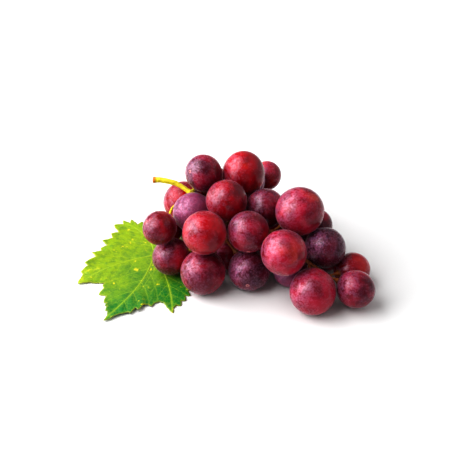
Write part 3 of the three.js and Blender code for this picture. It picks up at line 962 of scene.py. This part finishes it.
def blade_relief(points, heights, to_rim, to_vein, settings):
    """The blade's heights with its quilting, its curled teeth and slow ripples, most where it lifts."""
    free = np.clip((heights - LIES) / LIFTS, 0, 1)
    pillow = 1 - np.exp(-(to_vein / PILLOW) ** 2)
    edge = np.exp(-(to_rim / EDGE) ** 2)
    ripple = np.array([noise.noise(Vector((*(point / RIPPLE), 0.5))) for point in points])
    quilted = LYING_QUILT + (1 - LYING_QUILT) * free
    curled = LYING_CURL + (1 - LYING_CURL) * free
    heights = heights + settings.quilting * quilted * (pillow - 0.5) * (1 - edge)
    heights = heights + settings.curl * edge * ripple * curled
    heights = heights + RIPPLE_RISE * settings.quilting * ripple * free
    return np.maximum(heights, settings.thickness + FLOOR_CLEAR)


def lay_veins(paths, stem, top, settings):
    """Lays the veins on the blade, thinning towards their tips, and joins the leaf's stem to them."""
    corners = [tuple(point) for point in stem]
    runs = [(k, k + 1) for k in range(len(stem) - 1)]
    radii = [LEAF_STEM_RADIUS] * len(stem)
    for path, radius in paths:
        for k, point in enumerate(path):
            if k:
                runs.append((len(corners) - 1, len(corners)))
            corners.append((*point, top_at(top, point, 0) - VEIN_SINK * radius))
            radii.append(radius * (1 - VEIN_TAPER * k / (len(path) - 1)))
    mesh = bpy.data.meshes.new("leaf_veins")
    mesh.from_pydata(corners, runs, [])
    mesh.attributes.new("radius_here", "FLOAT", "POINT").data.foreach_set("value", radii)
    veins = new_piece("leaf_veins", mesh)
    grow(veins, vein_tree(), {"Sides": 8, "Material": vein_material(settings)})
    belongs(veins, "leaf", "leaf")


class GRAPES_OT_leaf(bpy.types.Operator):
    """Lays a fine blade over the leaf's solid, quilted between its veins, with curled teeth"""

    bl_idname = "grapes.leaf"
    bl_label = "Leaf"

    def execute(self, context):
        settings = context.scene.grapes.leaf
        rim = np.array(bulged(rim_of_leaf(), settings.step))
        hub, paths = vein_paths(rim, settings)
        points, links, faces = blade_plan(rim, settings.step)
        heights = eased_heights(points, links, solid_heights(points), EASING_ROUNDS)
        to_rim = gap_to(points, closed(rim))
        closeness, to_vein = vein_closeness(points, paths, settings)
        heights = blade_relief(points, heights, to_rim, to_vein, settings)

        corners = [(*point, z) for point, z in zip(points, heights)]
        mesh = bpy.data.meshes.new("leaf_blade")
        mesh.from_pydata(corners, [], faces)
        margin = MARGIN_TINT * np.exp(-(to_rim / MARGIN) ** 2)
        for name, values in (("vein", VEIN_TINT * closeness), ("margin", margin)):
            stored = mesh.attributes.new(name, "FLOAT", "POINT")
            stored.data.foreach_set("value", values.astype(np.float32))
        mesh.materials.append(blade_material(settings))
        blade = new_piece("leaf_blade", mesh)
        solidify = blade.modifiers.new("Thickness", "SOLIDIFY")
        solidify.thickness = settings.thickness
        solidify.offset = -1
        keep_result(blade)
        belongs(blade, "leaf", "leaf")
        lay_veins(paths, leaf_stem(hub), BVHTree.FromPolygons(corners, faces), settings)
        return {"FINISHED"}


def vein_tree():
    """Tubes along the veins, each point with a radius of its own."""
    tree, given, output = shape_tree("Leaf veins", [("Sides", "Int"), ("Material", "Material")])
    stored = put(tree, "GeometryNodeInputNamedAttribute", {"data_type": "FLOAT"}, Name="radius_here")
    radius = stored.outputs[0]
    curve = put(tree, "GeometryNodeMeshToCurve", Mesh=given["Geometry"]).outputs[0]
    curve = put(tree, "GeometryNodeSetCurveRadius", Curve=curve, Radius=radius).outputs[0]
    ring = put(tree, "GeometryNodeCurvePrimitiveCircle", Resolution=given["Sides"], Radius=1.0).outputs[0]
    tubes = put(tree, "GeometryNodeCurveToMesh", Curve=curve, Profile_Curve=ring, Scale=radius,
                Fill_Caps=True).outputs[0]
    close_tree(tree, tubes, given["Material"], output)
    return tree


# ---- Stage ---------------------------------------------------------------------------------------

FLOOR_SIDE = 4.0
AIM = Vector((1.5, -5.9, -2.96)) * MM  # what the camera looks at, from the middle of the solids' box
KEY_AT = Vector((-0.75, -0.05, 0.66))
KEY_SIDE = 1.3
FILL_AT = Vector((0.80, 0.10, 0.60))
FILL_SIDE = 1.4
LIGHT_DISTANCE = 1.0
PRINT_GAMMA = 0.74  # under 1 deepens the darks, as in a printed picture


def soft_light(name, direction, power, side):
    """A square soft light, shining at the bunch."""
    lamp = bpy.data.lights.new(name, "AREA")
    lamp.energy = power
    lamp.size = side
    light = bpy.data.objects.new(name, lamp)
    light.location = direction.normalized() * LIGHT_DISTANCE
    light.rotation_euler = direction.to_track_quat("Z", "Y").to_euler()
    bpy.context.scene.collection.objects.link(light)


class GRAPES_OT_stage(bpy.types.Operator):
    """Lays a pale floor, hangs soft lights and sets up the camera"""

    bl_idname = "grapes.stage"
    bl_label = "Stage"

    def execute(self, context):
        settings = context.scene.grapes.stage
        mesh = bpy.data.meshes.new("floor")
        around = ((-0.5, -0.5), (0.5, -0.5), (0.5, 0.5), (-0.5, 0.5))
        mesh.from_pydata([(x * FLOOR_SIDE, y * FLOOR_SIDE, 0) for x, y in around], [], [(0, 1, 2, 3)])
        mesh.materials.append(floor_material(settings))
        new_piece("floor", mesh)

        world = bpy.data.worlds.new("white_room")
        world.use_nodes = True
        backdrop = next(node for node in world.node_tree.nodes if node.type == "BACKGROUND")
        backdrop.inputs["Color"].default_value = (1, 1, 1, 1)
        backdrop.inputs["Strength"].default_value = settings.sky
        context.scene.world = world
        view = context.scene.view_settings
        view.view_transform = "Standard"
        view.gamma = PRINT_GAMMA
        soft_light("key", KEY_AT, settings.key, KEY_SIDE)
        soft_light("fill", FILL_AT, settings.fill, FILL_SIDE)

        camera = bpy.data.objects.new("camera", bpy.data.cameras.new("camera"))
        camera.data.lens = settings.lens
        camera.data.sensor_width = 36
        camera.data.clip_start = 0.01
        away = Vector((0, -math.cos(settings.lift), math.sin(settings.lift)))
        camera.location = (SOLID_BOX[0] + SOLID_BOX[1]) / 2 + AIM + away * settings.distance
        camera.rotation_euler = away.to_track_quat("Z", "Y").to_euler()
        context.scene.collection.objects.link(camera)
        context.scene.camera = camera
        return {"FINISHED"}


class VIEW3D_PT_grapes(bpy.types.Panel):
    """The bunch's pieces"""

    bl_label = "Bunch of grapes"
    bl_idname = "VIEW3D_PT_grapes"
    bl_space_type = "VIEW_3D"
    bl_region_type = "UI"
    bl_category = "Grapes"

    def draw(self, context):
        for operator in OPERATORS:
            self.layout.operator(operator.bl_idname)


OPERATORS = (GRAPES_OT_stage, GRAPES_OT_berries, GRAPES_OT_stalk, GRAPES_OT_leaf)
SETTINGS = (SkinSettings, BerrySettings, StalkSettings, LeafSettings, StageSettings, BunchSettings)
CLASSES = (*SETTINGS, *OPERATORS, VIEW3D_PT_grapes)


def register():
    for each in CLASSES:
        bpy.utils.register_class(each)
    bpy.types.Scene.grapes = PointerProperty(name="Grapes", description="The bunch's settings",
                                             type=BunchSettings)


def unregister():
    del bpy.types.Scene.grapes
    for each in reversed(CLASSES):
        bpy.utils.unregister_class(each)


def add_skins(skins):
    """Fills the list of skins from the table."""
    for name, (lit, deep, bloom, flush, gloss) in SKINS.items():
        skin = skins.add()
        skin.name = name
        skin.lit = lit
        skin.deep = deep
        skin.bloom = bloom
        skin.flush = flush
        skin.gloss = gloss


def main():
    register()
    add_skins(bpy.context.scene.grapes.skins)
    bpy.ops.grapes.stage()
    bpy.ops.grapes.berries()
    bpy.ops.grapes.stalk()
    bpy.ops.grapes.leaf()
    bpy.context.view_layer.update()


if __name__ == "__main__":
    main()
